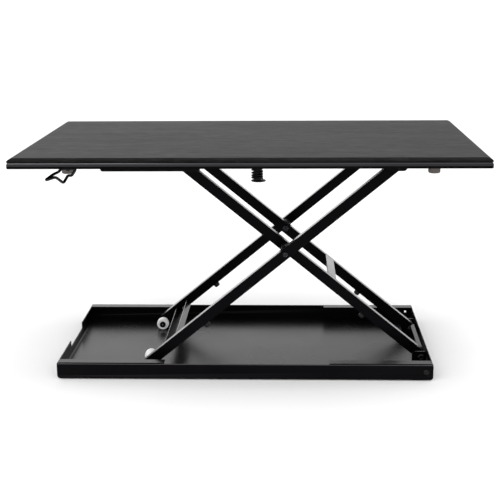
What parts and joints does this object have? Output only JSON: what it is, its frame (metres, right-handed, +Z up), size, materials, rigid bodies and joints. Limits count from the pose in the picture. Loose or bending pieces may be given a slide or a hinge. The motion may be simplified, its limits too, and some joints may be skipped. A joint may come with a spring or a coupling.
{
  "type": "standing desk converter",
  "caption": "Desktop riser that turns a desk into a standing desk: a board on crossed leg frames with rollers, folding flat over a shallow steel tray when a side lever is squeezed.",
  "frame": {"origin": "on the floor under the middle of the board, in the raised pose", "axes": "+X right, +Y back, away from the user, +Z up"},
  "size_m": [0.813, 0.51, 0.4157],
  "materials": {
    "black_laminate": "satin black laminate with a fine wood grain",
    "black_steel": "semi-gloss black powder coat",
    "black_zinc": "black zinc plated",
    "zinc": "bright zinc plated",
    "white_nylon": "moulded nylon",
    "grey_rubber": "matte rubber",
    "black_rubber": "matte rubber",
    "black_plastic": "moulded plastic"
  },
  "bodies": {
    "base": {"base_tray": "black_steel", "tray_foot_front_left": "black_rubber", "tray_foot_front_right": "black_rubber", "tray_foot_rear_left": "black_rubber", "tray_foot_rear_right": "black_rubber", "pivot_bracket_front": "black_steel", "pivot_bracket_rear": "black_steel", "base_pivot_bolt_front": "black_zinc", "base_pivot_bolt_rear": "black_zinc", "bracket_rivet_front": "black_zinc"},
    "inner_frame": {"inner_leg_front": "black_steel", "inner_leg_rear": "black_steel", "inner_leg_pad_front": "black_rubber", "inner_leg_pad_rear": "black_rubber", "inner_mid_bar": "black_steel", "inner_end_bar": "black_steel", "inner_upper_bar": "black_steel", "upper_axle_front": "black_zinc", "upper_axle_rear": "black_zinc"},
    "outer_frame": {"outer_leg_front": "black_steel", "outer_leg_rear": "black_steel", "outer_leg_pad_front": "black_rubber", "outer_leg_pad_rear": "black_rubber", "outer_lower_channel": "black_steel", "outer_upper_bar": "black_steel", "centre_bolt_front": "black_zinc", "centre_bolt_rear": "black_zinc", "centre_spacer_front": "black_plastic", "centre_spacer_rear": "black_plastic", "lower_axle_front": "black_zinc", "lower_axle_rear": "black_zinc", "channel_screw_front": "zinc", "channel_screw_rear": "zinc"},
    "desktop": {"desktop_board": "black_laminate", "desk_rail_front": "black_steel", "desk_rail_rear": "black_steel", "rail_screw_front_left": "black_zinc", "rail_screw_front_right": "black_zinc", "rail_screw_rear_left": "black_zinc", "rail_screw_rear_right": "black_zinc", "desk_bumper_front_left": "grey_rubber", "desk_bumper_front_right": "grey_rubber", "desk_bumper_rear_left": "grey_rubber", "desk_bumper_rear_right": "grey_rubber", "desk_pivot_bolt_front": "black_zinc", "desk_pivot_bolt_rear": "black_zinc", "assist_spring": "black_zinc", "spring_seat": "black_steel", "gas_barrel": "black_steel", "release_head": "black_plastic", "lever_bracket": "black_plastic", "release_cable": "black_rubber"},
    "lower_wheel_front": {"lower_roller_front": "white_nylon"},
    "lower_wheel_rear": {"lower_roller_rear": "white_nylon"},
    "upper_wheel_front": {"upper_roller_front": "white_nylon"},
    "upper_wheel_rear": {"upper_roller_rear": "white_nylon"},
    "gas_piston": {"gas_rod": "zinc"},
    "assist_foot": {"spring_foot": "black_plastic"},
    "hand_lever": {"lever_handle": "black_zinc"},
    "gas_valve": {"release_pin": "zinc"}
  },
  "joints": [
    {"name": "frame_fold", "type": "hinge", "parent": "base", "child": "inner_frame", "pos_m": [0.31475, 0, 0.0158], "axis": [0, -1, 0], "range_deg": [0, 36.88]},
    {"name": "scissor_pivot", "type": "hinge", "parent": "inner_frame", "child": "outer_frame", "pos_m": [0.06153, 0, 0.2235], "axis": [0, -1, 0], "range_deg": [-73.86, 0]},
    {"name": "desktop_pivot", "type": "hinge", "parent": "outer_frame", "child": "desktop", "pos_m": [0.25965, 0, 0.386], "axis": [0, -1, 0], "range_deg": [0, 36.98]},
    {"name": "piston_pivot", "type": "hinge", "parent": "inner_frame", "child": "gas_piston", "pos_m": [-0.13658, 0.035, 0.386], "axis": [0, -1, 0], "range_deg": [-36.98, 0]},
    {"name": "lower_wheel_front_spin", "type": "hinge", "parent": "outer_frame", "child": "lower_wheel_front", "pos_m": [-0.19168, -0.104, 0.0158], "axis": [0, 1, 0], "continuous": true},
    {"name": "lower_wheel_rear_spin", "type": "hinge", "parent": "outer_frame", "child": "lower_wheel_rear", "pos_m": [-0.19168, 0.104, 0.0158], "axis": [0, 1, 0], "continuous": true},
    {"name": "upper_wheel_front_spin", "type": "hinge", "parent": "inner_frame", "child": "upper_wheel_front", "pos_m": [-0.13658, -0.104, 0.386], "axis": [0, 1, 0], "continuous": true},
    {"name": "upper_wheel_rear_spin", "type": "hinge", "parent": "inner_frame", "child": "upper_wheel_rear", "pos_m": [-0.13658, 0.104, 0.386], "axis": [0, 1, 0], "continuous": true},
    {"name": "assist_foot_slide", "type": "slide", "parent": "desktop", "child": "assist_foot", "axis": [0, 0, 1], "range_m": [0, 0.0191], "deforming": ["assist_spring"]},
    {"name": "lever_squeeze", "type": "hinge", "parent": "desktop", "child": "hand_lever", "pos_m": [-0.314, -0.195, 0.3885], "axis": [-1, 0, 0], "range_deg": [0, 16], "stiffness_Nm_per_rad": 0.6, "springref_deg": -14.32},
    {"name": "valve_press", "type": "slide", "parent": "desktop", "child": "gas_valve", "axis": [-1, 0, 0], "range_m": [0, 0.0025]}
  ],
  "couplings": [
    {"joint": "scissor_pivot", "follows": "frame_fold", "ratio": -2},
    {"joint": "desktop_pivot", "follows": "frame_fold", "ratio": 1},
    {"joint": "piston_pivot", "follows": "frame_fold", "ratio": -1},
    {"joint": "assist_foot_slide", "follows": "frame_fold", "m_per_rad": 0.02952},
    {"joint": "valve_press", "follows": "lever_squeeze", "m_per_rad": 0.008594}
  ]
}
